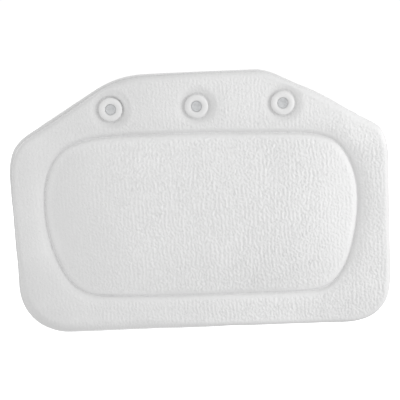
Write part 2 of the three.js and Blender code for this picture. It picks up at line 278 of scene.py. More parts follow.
def solve_dome():
    """A membrane blown up inside the groove, 1 at its highest point, on a 2 mm grid."""
    h = 2.0
    gx = np.arange(-150, 150.1, h)
    gz = np.arange(-178, -2.1, h)
    p = np.array([(x, z) for z in gz for x in gx])
    d = signed_distance(p, GROOVE).reshape(len(gz), len(gx))
    hold = 0.35 * (1 - smoothstep(-2.5, 2.5, d))
    u = np.maximum(0, 1 - (gx[None] / 131.4) ** 2 - ((gz[:, None] + 90.3) / 69) ** 2)
    load = 8.6e-4 * h * h * (d > -6)
    for _ in range(5200):
        around = np.zeros_like(u)
        around[1:-1, 1:-1] = u[:-2, 1:-1] + u[2:, 1:-1] + u[1:-1, :-2] + u[1:-1, 2:]
        u = (around + load) / (4 + hold * h * h)
    return gx, gz, u / u.max()


DOME_X, DOME_Z, DOME = solve_dome()


def dome_at(p):
    """The dome at points (x, z), by cubic interpolation."""
    def weights(t):
        return [
            ((-0.5 * t + 1.0) * t - 0.5) * t, (1.5 * t - 2.5) * t * t + 1.0,
            ((-1.5 * t + 2.0) * t + 0.5) * t, (0.5 * t - 0.5) * t * t,
        ]

    h = DOME_X[1] - DOME_X[0]
    u = np.clip((p[:, 0] - DOME_X[0]) / h, 1, len(DOME_X) - 2.001)
    v = np.clip((p[:, 1] - DOME_Z[0]) / h, 1, len(DOME_Z) - 2.001)
    i, j = u.astype(int), v.astype(int)
    wu, wv = weights(u - i), weights(v - j)
    out = np.zeros(len(p))
    for b in range(4):
        for a in range(4):
            out += DOME[j + b - 1, i + a - 1] * wu[a] * wv[b]
    return out


# ---------------------------------------------------------------- section of the panel


def quarter(u):
    return np.sqrt(1 - (1 - clamp01(u)) ** 2)


def roll(u):
    return 1 - (1 - clamp01(u)) ** 2.3


def lip_width(p):
    """The trimmed lip is widest along the left slope."""
    return around(p, [
        (0, 0.75), (25, 0.8), (42, 1.2), (60, 1.5), (90, 1.6), (120, 2.1), (150, 2.8), (165, 2.5), (180, 1.7),
        (215, 1.4), (250, 1.6), (270, 1.8), (300, 1.5), (325, 0.9), (345, 0.75),
    ])


def edge_roll(p, u):
    """Rise of the face from the lip, 0 to 1, at u millimetres from it: tight at the left, wide and easy at the lower
    left."""
    t = clamp01(u / around(p, [
        (0, 4.7), (28, 4.9), (45, 4.5), (60, 4.2), (150, 4.0), (165, 3.2), (180, 2.8), (198, 4.2), (212, 10.0),
        (240, 10.5), (258, 7.5), (272, 5.0), (300, 4.4), (320, 4.6), (340, 4.7),
    ]))
    easy = around(p, [(180, 0.0), (210, 1.0), (244, 1.0), (262, 0.3), (275, 0.0)])
    return quarter(t) * (1 - easy) + (1 - (1 - t) ** 2) * easy


def groove_section(p):
    """Floor of the groove and the width of its two sides: a sharp notch around the pad's ends, a soft valley along
    its top and bottom."""
    end = smoothstep(78, 124, np.abs(p[:, 0]))
    top = (1 - end) * smoothstep(-100, -60, p[:, 1])
    low = 1 - end - top
    left, right = end * (p[:, 0] < 0), end * (p[:, 0] > 0)
    floor = GROOVE_DEPTH + 0.25 * (1 - end) - top * (1.1 - 0.7 * smoothstep(40, 95, -p[:, 0])) + 0.65 * left - 0.35 * right
    return floor, 2.4 - 0.2 * end + 1.9 * top - 0.6 * low, 2.4 - 0.2 * end


def cove_at(p, rim, g):
    """The rim's slow fall towards the groove, wide and deep at the right, hardly there at the left."""
    drop = around(p, [(0, 3.4), (35, 2.7), (60, 2.6), (90, 2.9), (130, 2.7), (160, 1.6), (180, 1.1), (215, 1.4), (240, 2.2), (310, 2.2), (335, 3.2)])
    width = around(p, [(0, 16.0), (35, 14.0), (60, 13.0), (90, 15.0), (130, 14.0), (160, 11.0), (310, 11.0), (335, 14.0)])
    return rim - drop * (1 - roll(g / width))


def cup_radius(p):
    """Distance to the nearest cup axis."""
    return np.min([np.hypot(p[:, 0] - x, p[:, 1]) for x in CUP_X.values()], axis=0)


def dish_depth(r, rim):
    """The face around a ring button: a floor under the button and a soft flank that hugs its edge."""
    flank = rim - 0.6 * np.exp(-np.maximum(r - 11.0, 0) / 0.8) - 2.2 * (1 - smoothstep(10.5, 18.5, r))
    return np.where(r < 11.0, DISH_FLOOR + (flank - DISH_FLOOR) * smoothstep(10.4, 11.0, r), flank)


def face_depth(p, d_edge, d_groove):
    """Outer face of the front sheet at points (x, z), its grain, and the amount of painted shade on it, which is lower
    where light is painted.
    """
    lip = lip_width(p)
    inside = d_groove >= 0
    g = np.abs(d_groove)
    f = clamp01(d_edge / (d_edge + g + 1e-9))
    rim = RIM_DEPTH + RIM_BULGE * 4 * f * (1 - f)
    edge = LIP_DEPTH - 0.1 + (rim - LIP_DEPTH + 0.1) * edge_roll(p, d_edge - lip)
    floor, rim_side, pad_side = groove_section(p)
    turn = 0.25 + 0.35 * smoothstep(78, 124, np.abs(p[:, 0]))  # rounds the bottom of the groove
    soft = np.sqrt(g * g + turn * turn) - turn
    cove = floor + (cove_at(p, rim, g) - floor) * roll(soft / rim_side)
    outer = np.minimum(edge, cove)
    r = cup_radius(p)
    outer = np.where(r < 24, smooth_min(outer, dish_depth(r, rim), 0.35), outer)
    # the foam bulges against the upper right of the left button
    t = np.arctan2(p[:, 1], p[:, 0] - CUP_X["left"])
    bulge = 1.3 * smoothstep(10.7, 11.3, r) * (1 - smoothstep(11.8, 16.0, r)) * clamp01(np.cos(t - math.radians(42))) ** 1.5
    outer = np.where(p[:, 0] < -40, outer + bulge, outer)
    dome = (PAD_CROWN_DEPTH - PAD_EDGE_DEPTH) * dome_at(p)
    pad = floor + (PAD_EDGE_DEPTH - floor) * roll(soft / pad_side) + dome * smoothstep(0, 5, g)
    depth = np.where(inside, pad, outer)
    calm = np.where(inside, smoothstep(1.5, 6, g), smoothstep(2, 8, g) * smoothstep(lip + 2.5, lip + 8, d_edge))
    calm = calm * smoothstep(12, 18, r)
    grain = sample(GRAIN, p)
    mask = np.where(inside, smoothstep(1.8, 5.0, g), smoothstep(1.8, 5.5, g) * smoothstep(lip + 2.4, lip + 6.0, d_edge))
    flat = np.where(inside, 0.0, 1 - smoothstep(-150, -70, p[:, 0]))
    weak = (1 - 0.45 * flat) * np.where(inside, 1.0, 1 - 0.3 * smoothstep(-40, 0, p[:, 1]))
    # the emboss is deepest in the middle and to the right of it, and shallower on the rim
    weak = weak * np.where(
        inside,
        np.interp(p[:, 0], [-115, -70, -45, 30, 95, 120], [0.28, 0.80, 1.02, 1.04, 0.98, 0.65]),
        np.interp(p[:, 0], [-150, -50, 30, 150], [0.52, 0.72, 0.96, 0.86]),
    )
    mask = mask * smoothstep(12.6, 17.5, r)
    depth = depth + calm * (0.16 * sample(SWELL, p) + 0.05 * sample(RIPPLE, p)) - RELIEF * mask * weak * (grain - 0.42)
    # painted shade: the face is darker where it is smooth, in the groove, on the lip, in the dish round each button,
    # and on the left part of the rim
    painted_shade = np.maximum(0.45 * (1 - mask), 0.95 * (1 - smoothstep(12.5, 19.0, r))) + 0.5 * flat
    # painted shade that varies left to right: heaviest at the pad's left end and at the rim's two ends, lightest just
    # right of the middle
    painted_shade = painted_shade + np.where(
        inside,
        np.interp(p[:, 0], [-115, -75, -50, 15, 75, 110], [1.40, 0.74, 0.32, 0.28, 0.84, 0.60]) * (0.35 + 0.65 * smoothstep(1, 9, g)),
        np.interp(p[:, 0], [-150, -135, -60, 20, 60, 110, 150], [1.1, 0.62, 0.85, 0.14, 0.30, 0.60, 1.0]),
    )
    # painted shade: a band above the groove's top run, the lower left corner, the top of the rim and the bottom edge
    below = smoothstep(-75, -40, p[:, 1]) * (1 - smoothstep(5, 18, g))
    corner = (1 - smoothstep(-130, -95, p[:, 0])) * (1 - smoothstep(-150, -110, p[:, 1]))
    high = smoothstep(-25, -12, p[:, 1]) * (1 - smoothstep(70, 110, p[:, 0]))
    # painted shadow to the right of the middle button
    beside = np.exp(-(((p[:, 0] - CUP_X["middle"] - 17) / 8) ** 2) - (p[:, 1] / 15) ** 2)
    under = 1 - smoothstep(-172, -162, p[:, 1])
    painted_shade = painted_shade + np.where(inside, 0.0, 0.25 * below + 0.50 * corner + 0.42 * high + 0.8 * beside + 0.25 * under)
    # painted shade at the lower right, and painted light on the right shoulder above it
    lower_right = smoothstep(85, 105, p[:, 0]) * (1 - smoothstep(128, 140, p[:, 0])) * (1 - smoothstep(-125, -100, p[:, 1]))
    shoulder = smoothstep(115, 130, p[:, 0]) * smoothstep(-45, -30, p[:, 1])
    painted_shade = np.maximum(painted_shade + 0.28 * lower_right - 0.85 * shoulder, 0.0)
    return depth, mask * grain + (1 - mask) * 0.42, painted_shade


def inner_depth(p, d_edge, d_groove):
    """Inner face of the front sheet, which the foam fills."""
    inside = d_groove >= 0
    g = np.abs(d_groove)
    seat = BACK_SHEET + WELD_GAP
    f = clamp01(d_edge / (d_edge + g + 1e-9))
    rim = RIM_DEPTH + RIM_BULGE * 4 * f * (1 - f) - SKIN
    edge = seat + (rim - seat) * quarter((d_edge - 5.1) / 4.6)
    floor, rim_side, pad_side = groove_section(p)
    floor = floor - SKIN
    cove = floor + (cove_at(p, rim, g) - floor) * roll((g - 0.6) / rim_side)
    outer = np.minimum(edge, cove)
    r = cup_radius(p)
    outer = np.where(r < 24, np.minimum(outer, dish_depth(r, rim + SKIN) - SKIN), outer)
    dome = (PAD_CROWN_DEPTH - PAD_EDGE_DEPTH) * dome_at(p)
    pad = floor + (PAD_EDGE_DEPTH - SKIN - floor) * roll((g - 1.4) / pad_side) + dome * smoothstep(0, 5, g)
    return np.where(inside, pad, outer)


# ---------------------------------------------------------------- mesh building


class Builder:
    """Collects points (x, z, depth), faces and two values per point: the grain and the amount of painted shade, kept as
    the weld attribute.
    """

    def __init__(self):
        self.points, self.values, self.welds, self.tris, self.quads = [], [], [], [], []
        self.count = 0

    # weld: the amount of painted shade at the points
    def add(self, xz, depth, value=0.42, weld=0.0):
        n = len(xz)
        self.points.append(np.c_[xz, np.broadcast_to(depth, n)])
        self.values.append(np.broadcast_to(value, n).astype(float))
        self.welds.append(np.broadcast_to(weld, n).astype(float))
        self.count += n
        return np.arange(self.count - n, self.count)

    def strip(self, rings, flip=False):
        """Quads between closed rings of equal count."""
        for a, b in zip(rings, rings[1:]):
            q = np.c_[a, np.roll(a, -1), np.roll(b, -1), b]
            self.quads.append(q[:, ::-1] if flip else q)

    def fill(self, loops, holes, extra, flip=False, stretch=1.0, lines=()):
        """Triangles over a region: loops and holes are index rings, extra are index lists of inner points,
        lines are further index rings to keep as edges."""
        ids = np.concatenate([*loops, *holes, *lines, *extra])
        every = np.vstack(self.points)[ids, :2] * (stretch, 1.0)
        edges, start = [], 0
        for ring in [*loops, *holes, *lines]:
            n = len(ring)
            edges += [(start + k, start + (k + 1) % n) for k in range(n)]
            start += n
        made = delaunay_2d_cdt([Vector(v) for v in every.tolist()], edges, [], 0, 1e-7)
        if len(made[0]) != len(ids):
            raise RuntimeError(f"triangulation changed the points: {len(ids)} to {len(made[0])}")
        t = np.array(made[2])
        t = t[self.inside(t, edges[: sum(len(ring) for ring in [*loops, *holes])], len(ids))]
        a, b, c = (every[t[:, k]] for k in range(3))
        area = (b[:, 0] - a[:, 0]) * (c[:, 1] - a[:, 1]) - (b[:, 1] - a[:, 1]) * (c[:, 0] - a[:, 0])
        t[area < 0] = t[area < 0][:, ::-1]
        t = ids[t]
        self.tris.append(t[:, ::-1] if flip else t)

    @staticmethod
    def inside(tris, ring_edges, count):
        """Which triangles of a full triangulation lie inside: each step across a ring changes the side."""
        pairs = np.sort(tris[:, [0, 1, 1, 2, 2, 0]].reshape(-1, 2), axis=1)
        key = pairs[:, 0] * count + pairs[:, 1]
        rings = np.sort(np.array(ring_edges), axis=1)
        border = np.isin(key, rings[:, 0] * count + rings[:, 1])
        order = np.argsort(key, kind="stable")
        twin = key[order][1:] == key[order][:-1]
        mate = np.full(len(key), -1)
        mate[order[:-1][twin]] = order[1:][twin]
        mate[order[1:][twin]] = order[:-1][twin]
        side = np.full(len(tris), -1)
        rim = np.flatnonzero(mate < 0)
        side[rim // 3] = border[rim]
        todo = list(np.unique(rim // 3))
        mate, border = mate.tolist(), border.tolist()
        while todo:
            i = todo.pop()
            for h in (3 * i, 3 * i + 1, 3 * i + 2):
                j = mate[h] // 3
                if mate[h] >= 0 and side[j] < 0:
                    side[j] = side[i] ^ border[h]
                    todo.append(j)
        return side == 1

    def make(self, name):
        p = np.vstack(self.points)
        co = np.c_[p[:, 0], BACK_Y - p[:, 2], p[:, 1]] * 0.001
        tris = np.vstack(self.tris) if self.tris else np.zeros((0, 3), int)
        quads = np.vstack(self.quads) if self.quads else np.zeros((0, 4), int)
        ob = mesh_object(name, co, tris, quads)
        # the weld attribute holds the amount of painted shade
        for key, values in (("grain", self.values), ("weld", self.welds)):
            attribute = ob.data.attributes.new(key, "FLOAT", "POINT")
            attribute.data.foreach_set("value", np.concatenate(values).astype(np.float32))
        return ob


def mesh_object(name, co, tris, quads):
    me = bpy.data.meshes.new(name)
    loops = np.concatenate([tris.ravel(), quads.ravel()]).astype(np.int32)
    starts = np.concatenate([np.arange(len(tris)) * 3, len(tris) * 3 + np.arange(len(quads)) * 4]).astype(np.int32)
    me.vertices.add(len(co))
    me.vertices.foreach_set("co", co.astype(np.float32).ravel())
    me.loops.add(len(loops))
    me.loops.foreach_set("vertex_index", loops)
    me.polygons.add(len(starts))
    me.polygons.foreach_set("loop_start", starts)
    me.update(calc_edges=True)
    me.validate()
    me.polygons.foreach_set("use_smooth", np.ones(len(me.polygons), bool))
    ob = bpy.data.objects.new(name, me)
    bpy.context.scene.collection.objects.link(ob)
    return ob


def ring_at(loop, offset):
    """A loop moved inwards by offset millimetres; offset may vary along it."""
    return loop + inward(loop) * np.broadcast_to(offset, len(loop))[:, None]


def circle(x, r, n):
    a = np.arange(n) * 2 * np.pi / n
    return np.c_[x + r * np.cos(a), r * np.sin(a)]


def lattice(dx, dz):
    """Staggered points over the panel's box."""
    rows = np.arange(-191.0, 30.0, dz)
    out = []
    for k, z in enumerate(rows):
        xs = np.arange(-162.0, 162.0, dx) + (dx / 2 if k % 2 else 0)
        out.append(np.c_[xs, np.full(len(xs), z)])
    return np.vstack(out)


def edge_and_groove(p):
    return signed_distance(p, OUTLINE), signed_distance(p, GROOVE)


# ---------------------------------------------------------------- front sheet


def make_front():
    b = Builder()
    outline = resample(OUTLINE, 720)
    groove = resample(GROOVE, 640)
    lip = lip_width(outline)

    # lip: back edge, trimmed wall, rounded top edge, flat land, crease
    seat = BACK_SHEET + WELD_GAP
    wobble = 0.10 * sample(RIPPLE, outline) + 0.05 * sample(SWELL, outline)
    trim = 0.14 + np.clip(wobble, -0.12, 0.3)
    # painted shade on the lip, strongest along the top and the left slope; it fades over the first millimetre of the
    # face
    shade_paint = around(outline, [(0, 0.4), (28, 0.5), (60, 1.3), (90, 1.5), (170, 1.4), (200, 1.1), (300, 1.0), (330, 0.5)])
    rings = []
    for off, depth in [(0.34, seat), (0.08, seat + 0.02), (0.0, seat + 0.2), (0.0, 2.85), (0.05, 3.2), (0.14, 3.44), (0.26, 3.54)]:
        rings.append(b.add(ring_at(outline, off + trim), depth, weld=shade_paint))
    for share, depth in [(0.5, 3.6), (0.8, 3.55)]:
        rings.append(b.add(ring_at(outline, trim + 0.26 + (lip - trim - 0.26) * share), depth, weld=shade_paint))
    for off in (0.0, 0.05, 0.15, 0.32, 0.56, 0.86, 1.22, 1.66, 2.2, 2.8):
        p = ring_at(outline, lip + off)
        d_edge, d_groove = edge_and_groove(p)
        depth, value, painted_shade = face_depth(p, d_edge, d_groove)
        rings.append(b.add(p, depth, value, np.maximum(painted_shade, shade_paint * (1 - smoothstep(0.0, 0.9, np.array(off))))))
    b.strip(rings)
    lip_ring, rim_ring = rings[0], rings[-1]

    # groove: from the rim's cove to the pad's steep edge
    rings = []
    for off in (-4.2, -3.3, -2.5, -1.8, -1.2, -0.7, -0.3, 0.0, 0.25, 0.55, 0.9, 1.3, 1.75, 2.25, 2.8, 3.4, 4.1, 4.9):
        p = ring_at(groove, off)
        d_edge, _ = edge_and_groove(p)
        rings.append(b.add(p, *face_depth(p, d_edge, np.full(len(p), float(off)))))
    b.strip(rings)
    cove_ring, pad_ring = rings[0], rings[-1]

    # dishes: hole edge to the flank beside the button
    dish_rings, hole_rings = [], []
    for x in CUP_X.values():
        rings = []
        for r, drop in [(6.0, 0.5), (6.15, 0.15), (6.5, 0.0)]:
            rings.append(b.add(circle(x, r, 96), DISH_FLOOR - drop))
        for r in (8.2, 9.6, 10.4, 10.7, 10.95, 11.2, 11.5, 11.9, 12.4):
            p = circle(x, r, 96)
            rings.append(b.add(p, *face_depth(p, *edge_and_groove(p))))
        b.strip(rings, flip=True)
        hole_rings.append(rings[0])
        dish_rings.append(rings[-1])

    # open faces
    p = lattice(0.80, 1.12)
    d_edge, d_groove = edge_and_groove(p)
    r = cup_radius(p)
    rim = (d_edge > lip_width(p) + 3.35) & (d_groove < -4.8) & (r > 13.0)
    pad = d_groove > 5.5
    rim_points = b.add(p[rim], *face_depth(p[rim], d_edge[rim], d_groove[rim]))
    pad_points = b.add(p[pad], *face_depth(p[pad], d_edge[pad], d_groove[pad]))
    b.fill([rim_ring], [cove_ring, *dish_rings], [rim_points], stretch=1.4)
    b.fill([pad_ring], [], [pad_points], stretch=1.4)

    # inner face
    holes = [b.add(circle(x, HOLE_R, 96), DISH_FLOOR - SKIN) for x in CUP_X.values()]
    for upper, lower in zip(hole_rings, holes):
        b.strip([lower, upper], flip=True)
    lines = []
    for off in (5.1, 5.35, 6.0, 7.2):
        q = ring_at(resample(OUTLINE, 260), off)
        d_edge, d_groove = edge_and_groove(q)
        lines.append(b.add(q, inner_depth(q, d_edge, d_groove)))
    for off in (-9.0, -5.5, -3.0, -0.6, 1.4, 1.8, 2.6, 4.6):
        q = ring_at(resample(GROOVE, 220), off)
        d_edge, _ = edge_and_groove(q)
        lines.append(b.add(q, inner_depth(q, d_edge, np.full(len(q), float(off)))))
    for x in CUP_X.values():
        for rr in (8.5, 10.6):
            q = circle(x, rr, 48)
            lines.append(b.add(q, inner_depth(q, *edge_and_groove(q))))
    q = lattice(4.4, 4.0)
    d_edge, d_groove = edge_and_groove(q)
    keep = (d_edge > 9.4) & ((d_groove < -11) | (d_groove > 7)) & (cup_radius(q) > 13)
    extra = b.add(q[keep], inner_depth(q[keep], d_edge[keep], d_groove[keep]))
    b.fill([lip_ring], holes, [extra], flip=True, lines=lines)
    return b.make("front_skin")


# ---------------------------------------------------------------- back sheet


def make_back():
    b = Builder()
    outline = resample(OUTLINE, 480)
    trim = 0.10
    rings = []
    for off, depth in [(0.5, 0.0), (0.2, 0.08), (0.03, 0.28), (0.0, 0.55), (0.0, 1.35), (0.06, 1.52), (0.3, 1.6)]:
        rings.append(b.add(ring_at(outline, off + trim), depth))
    b.strip(rings)
    back_ring, front_ring = rings[0], rings[-1]

    def back_face(q):
        d_edge, d_groove = edge_and_groove(q)
        r = cup_radius(q)
        weld = np.exp(-(((d_edge - 3.6) / 0.9) ** 2))
        line = np.exp(-((d_groove / 1.3) ** 2))
        free = smoothstep(4, 14, d_edge) * smoothstep(2, 9, np.abs(d_groove)) * smoothstep(11, 22, r)
        collar = smoothstep(7.4, 8.4, r) * (1 - smoothstep(10.4, 11.4, r))
        swell = 0.20 + 0.16 * sample(SWELL, q) + 0.12 * sample(TENSION, q) + 0.04 * sample(RIPPLE, q)
        emboss = 0.16 * (1 + sample(LEATHER, q)) * smoothstep(5, 8, d_edge) * smoothstep(2, 5, np.abs(d_groove)) * smoothstep(11.4, 15, r)
        return 0.55 * weld + 0.50 * line + 0.30 * collar + free * np.clip(swell, 0.0, 0.6) + emboss

    ends = []
    for x in CUP_X.values():
        rings = []
        for r, depth in [(6.5, 0.0), (6.15, 0.1), (6.0, 0.35), (6.0, 1.3), (6.2, 1.6)]:
            rings.append(b.add(circle(x, r, 96), depth))
        b.strip(rings)
        ends.append((rings[0], rings[-1]))
    lines = []
    for off in (1.6, 2.4, 3.0, 3.6, 4.2, 5.0):
        q = ring_at(outline, off)
        lines.append(b.add(q, back_face(q)))
    for off in (-2.6, -1.6, -0.8, 0.0, 0.8, 1.6, 2.6):
        q = ring_at(resample(GROOVE, 420), off)
        lines.append(b.add(q, back_face(q)))
    for x in CUP_X.values():
        for r in (7.4, 7.9, 8.4, 10.4, 10.9, 11.4):
            q = circle(x, r, 96)
            lines.append(b.add(q, back_face(q)))
    q = lattice(1.25, 1.1)
    d_edge, d_groove = edge_and_groove(q)
    keep = (d_edge > 6.0) & (np.abs(d_groove) > 3.6) & (cup_radius(q) > 12.2)
    extra = b.add(q[keep], back_face(q[keep]), sample(GRAIN, q[keep]))
    b.fill([back_ring], [e[0] for e in ends], [extra], flip=True, lines=lines)
    q = lattice(6.0, 5.2)
    keep = (signed_distance(q, OUTLINE) > 3.0) & (cup_radius(q) > 9.0)
    extra = b.add(q[keep], BACK_SHEET)
    b.fill([front_ring], [e[1] for e in ends], [extra])
    return b.make("back_skin")


# ---------------------------------------------------------------- foams


def make_pad_core():
    b = Builder()
    loop = resample(GROOVE, 360)
    floor = BASE_FOAM_DEPTH + CLEAR

    def top(q, d_groove):
        d_edge = signed_distance(q, OUTLINE)
        pores = 0.10 * (sample(GRAIN, q) - 0.5) + 0.05 * sample(RIPPLE, q)
        return inner_depth(q, d_edge, d_groove) - CLEAR - 0.1 + pores

    rings = [b.add(ring_at(loop, 5.6), floor), b.add(ring_at(loop, 4.8), floor + 0.1), b.add(ring_at(loop, 4.55), floor + 0.5)]
    for off in (4.7, 5.2, 6.0):
        q = ring_at(loop, off)
        rings.append(b.add(q, np.maximum(top(q, np.full(len(q), off)), floor + 0.9)))
    b.strip(rings)
    q = lattice(2.4, 2.1)
    d_groove = signed_distance(q, GROOVE)
    keep = d_groove > 7.4
    extra = b.add(q[keep], top(q[keep], d_groove[keep]), sample(GRAIN, q[keep]))
    b.fill([rings[-1]], [], [extra])
    q = lattice(6.0, 5.2)
    keep = signed_distance(q, GROOVE) > 9
    extra = b.add(q[keep], floor + 0.04 * sample(RIPPLE, q[keep]))
    b.fill([rings[0]], [], [extra], flip=True)
    return b.make("pad_core")


def make_base_sheet():
    b = Builder()
    loop = resample(OUTLINE, 420)
    low = BACK_SHEET + CLEAR

    def top(q):
        d_edge, d_groove = edge_and_groove(q)
        depth = np.minimum(inner_depth(q, d_edge, d_groove) - CLEAR - 0.1, np.where(d_groove > 0, BASE_FOAM_DEPTH, 20.0))
        r = cup_radius(q)
        depth = np.where(r < 24, np.minimum(depth, dish_depth(r, RIM_DEPTH) - SKIN - CLEAR - 0.1), depth)
        return np.maximum(depth + 0.05 * (sample(GRAIN, q) - 0.5), low + 0.5)

    rings = [b.add(ring_at(loop, 7.6), low), b.add(ring_at(loop, 6.9), low + 0.1), b.add(ring_at(loop, 6.7), low + 0.45)]
    for off in (7.0, 8.0, 9.2):
        q = ring_at(loop, off)
        rings.append(b.add(q, top(q)))
    b.strip(rings)
    ends = []
    for x in CUP_X.values():
        under = b.add(circle(x, HOLE_R + 0.2, 72), low)
        upper = b.add(circle(x, HOLE_R + 0.2, 72), DISH_FLOOR - SKIN - CLEAR - 0.1)
        b.strip([under, upper], flip=False)
        ends.append((under, upper))
    lines = []
    for off in (-6.0, -3.0, -0.6, 1.4, 2.6):
        q = ring_at(resample(GROOVE, 240), off)
        lines.append(b.add(q, top(q)))
    q = lattice(2.6, 2.3)
    d_edge, d_groove = edge_and_groove(q)
    keep = (d_edge > 10.6) & (cup_radius(q) > 7.6) & ((d_groove < -7.4) | (d_groove > 4.2))
    extra = b.add(q[keep], top(q[keep]), sample(GRAIN, q[keep]))
    b.fill([rings[-1]], [e[1] for e in ends], [extra], lines=lines)
    q = lattice(7.0, 6.2)
    keep = (signed_distance(q, OUTLINE) > 11) & (cup_radius(q) > 10)
    extra = b.add(q[keep], low)
    b.fill([rings[0]], [e[0] for e in ends], [extra], flip=True)
    return b.make("base_sheet")


# ---------------------------------------------------------------- turned pieces


def rounded(points, radii, steps=5):
    """An open or closed profile with its corners rounded; points are (radius, depth from the wall)."""
    out = []
    n = len(points)
    for i, (point, r) in enumerate(zip(points, radii)):
        p1 = np.array(point, float)
        if r == 0:
            out.append(p1)
            continue
        p0, p2 = np.array(points[(i - 1) % n], float), np.array(points[(i + 1) % n], float)
        la, lb = np.hypot(*(p0 - p1)), np.hypot(*(p2 - p1))
        a, c = (p0 - p1) / la, (p2 - p1) / lb
        reach = min(r, 0.48 * la, 0.48 * lb)
        s, e = p1 + a * reach, p1 + c * reach
        for t in np.linspace(0, 1, steps):
            out.append((1 - t) ** 2 * s + 2 * t * (1 - t) * p1 + t * t * e)
    return np.array(out)


def fine(profile, step):
    """Extra points along the long stretches of a profile."""
    out = [profile[0]]
    for a, c in zip(profile, profile[1:]):
        n = max(1, int(math.ceil(np.hypot(*(c - a)) / step)))
        for k in range(1, n + 1):
            out.append(a + (c - a) * k / n)
    return np.array(out)


def turned(name, profile, x, n=128, closed=False, wave=None):
    """A solid of revolution about the cup's axis. An open profile starts and ends on the axis."""
    a = np.arange(n) * 2 * np.pi / n
    co, rings, quads, tris = [], [], [], []
    for r, h in profile:
        if r < 1e-6:
            co.append(np.array([[x, -h, 0.0]]))
            rings.append(np.array([sum(len(c) for c in co) - 1]))
            continue
        rr = r * np.ones(n)
        hh = h * np.ones(n)
        if wave is not None:
            rr, hh = wave(r, h, a)
        start = sum(len(c) for c in co)
        co.append(np.c_[x + rr * np.cos(a), -hh, rr * np.sin(a)])
        rings.append(np.arange(start, start + n))
    pairs = list(zip(rings, rings[1:] + rings[:1])) if closed else list(zip(rings, rings[1:]))
    for p, q in pairs:
        if len(p) == 1:
            tris.append(np.c_[np.full(n, p[0]), np.roll(q, -1), q])
        elif len(q) == 1:
            tris.append(np.c_[p, np.roll(p, -1), np.full(n, q[0])])
        else:
            quads.append(np.c_[p, np.roll(p, -1), np.roll(q, -1), q])
    co = np.vstack(co) * 0.001
    t = np.vstack(tris) if tris else np.zeros((0, 3), int)
    q = np.vstack(quads)
    # faces point outwards
    every = np.vstack([t, q[:, :3], q[:, [0, 2, 3]]])
    v0, v1, v2 = (co[every[:, k]] - co.mean(0) for k in range(3))
    if (v0 * np.cross(v1, v2)).sum() < 0:
        t, q = t[:, ::-1], q[:, ::-1]
    return mesh_object(name, co, t, q)


CUP_PROFILE = [
    (0, 7.0), (5.4, 6.7), (10.0, 5.5), (14.0, 3.2), (17.2, 0.0), (19.0, 0.0), (19.0, 0.8),
    (17.4, 3.4), (14.2, 6.0), (10.4, 8.1), (7.6, 9.2), (7.3, 10.2), (5.3, 10.2), (5.3, 19.1),
    (3.9, 19.1), (3.9, 20.7), (4.25, 20.75), (4.4, 20.9), (4.38, 21.15), (4.15, 21.22), (3.0, 20.95), (1.6, 20.45), (0, 20.3),
]
CUP_RADII = [0, 2.2, 2.2, 2.0, 0.25, 0.2, 0.35, 1.6, 1.8, 1.8, 0.6, 0.35, 0.4, 0.3, 0.2, 0.12, 0.1, 0.08, 0.08, 0.15, 0.8, 0.8, 0]
BUTTON_PROFILE = [
    (4.2, 19.4), (9.4, 19.4), (9.9, 19.9), (9.85, 20.7), (9.25, 21.55), (8.0, 22.05), (6.9, 22.15),
    (5.8, 21.95), (4.95, 21.6), (4.5, 21.15), (4.44, 20.6), (4.2, 20.5),
]
BUTTON_RADII = [0.12, 0.35, 0.5, 0.6, 0.7, 0.6, 0.6, 0.6, 0.45, 0.3, 0.1, 0.1]


def make_cup(side, x):
    def wave(r, h, a):
        # moulded ribs on the cup's back and a lip that is not quite true
        rib = 0.06 * math.sin(h * 5.2) if 1.2 < h < 8.6 and r > 8.5 else 0.0
        lip = smoothstep(15.5, 19.0, np.array(r)) * 0.05 * np.sin(3 * a + x)
        return (r + rib + lip) * np.ones_like(a), h * np.ones_like(a)

    profile = fine(rounded(CUP_PROFILE, CUP_RADII, 6), 0.45)
    return turned(f"cup_{side}", profile, x, 128, wave=wave)


def make_button(side, x):
    profile = rounded(BUTTON_PROFILE, BUTTON_RADII, 6)
    profile = fine(np.vstack([profile, profile[:1]]), 0.35)[:-1]
    return turned(f"button_{side}", profile, x, 128, closed=True)


# ---------------------------------------------------------------- materials


